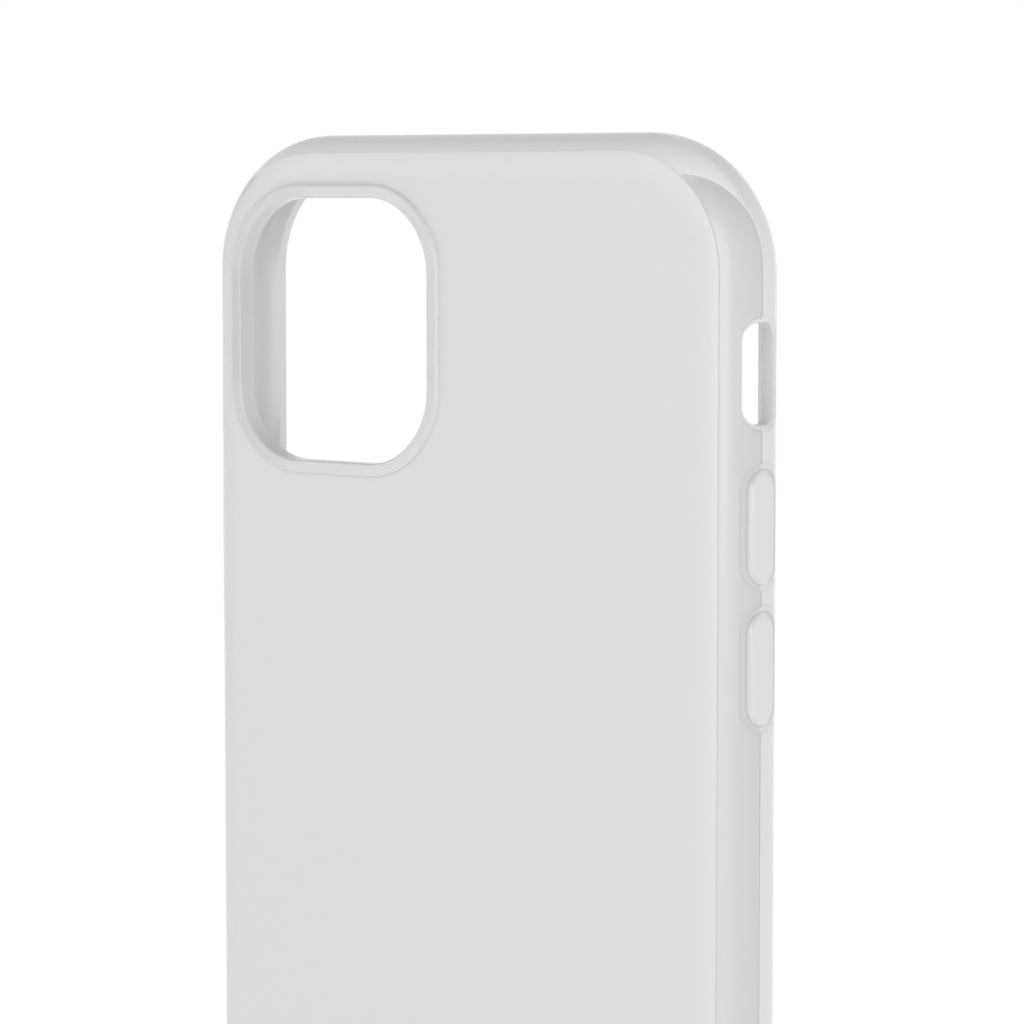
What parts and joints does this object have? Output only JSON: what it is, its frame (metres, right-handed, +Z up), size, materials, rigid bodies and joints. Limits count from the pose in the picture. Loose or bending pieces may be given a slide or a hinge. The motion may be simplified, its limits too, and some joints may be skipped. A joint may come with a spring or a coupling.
{
  "type": "phone case",
  "caption": "Slim phone case with a rigid back plate in a flexible bumper frame, a raised camera collar, a switch cut-out, port openings and sprung key covers.",
  "frame": {"origin": "centre of the bounding box, at the bottom edge of the case", "axes": "+Z up the case's length with the camera window at the top, +Y from the back plate to the open front, +X to the switch and volume key side"},
  "size_m": [0.0754, 0.011, 0.1472],
  "materials": {
    "flexible_frame": "glossy, slightly milky clear moulded TPU",
    "back_panel": "smooth light grey printed panel under a satin gloss",
    "clear_collar": "glossy clear moulded ring",
    "key_cover": "glossy, slightly milky clear moulded TPU",
    "key_web": "thin flexible TPU membrane"
  },
  "bodies": {
    "case": {"bumper_frame": "flexible_frame", "back_plate": "back_panel", "camera_collar": "clear_collar", "volume_up_web": "key_web", "volume_down_web": "key_web", "side_web": "key_web"},
    "volume_up": {"volume_up_key": "key_cover"},
    "volume_down": {"volume_down_key": "key_cover"},
    "side": {"side_key": "key_cover"}
  },
  "joints": [
    {"name": "volume_up_press", "type": "slide", "parent": "case", "child": "volume_up", "axis": [-1, 0, 0], "range_m": [0, 0.00035], "stiffness_N_per_m": 2500, "deforming": ["volume_up_web"]},
    {"name": "volume_down_press", "type": "slide", "parent": "case", "child": "volume_down", "axis": [-1, 0, 0], "range_m": [0, 0.00035], "stiffness_N_per_m": 2500, "deforming": ["volume_down_web"]},
    {"name": "side_press", "type": "slide", "parent": "case", "child": "side", "axis": [1, 0, 0], "range_m": [0, 0.00035], "stiffness_N_per_m": 2500, "deforming": ["side_web"]}
  ]
}
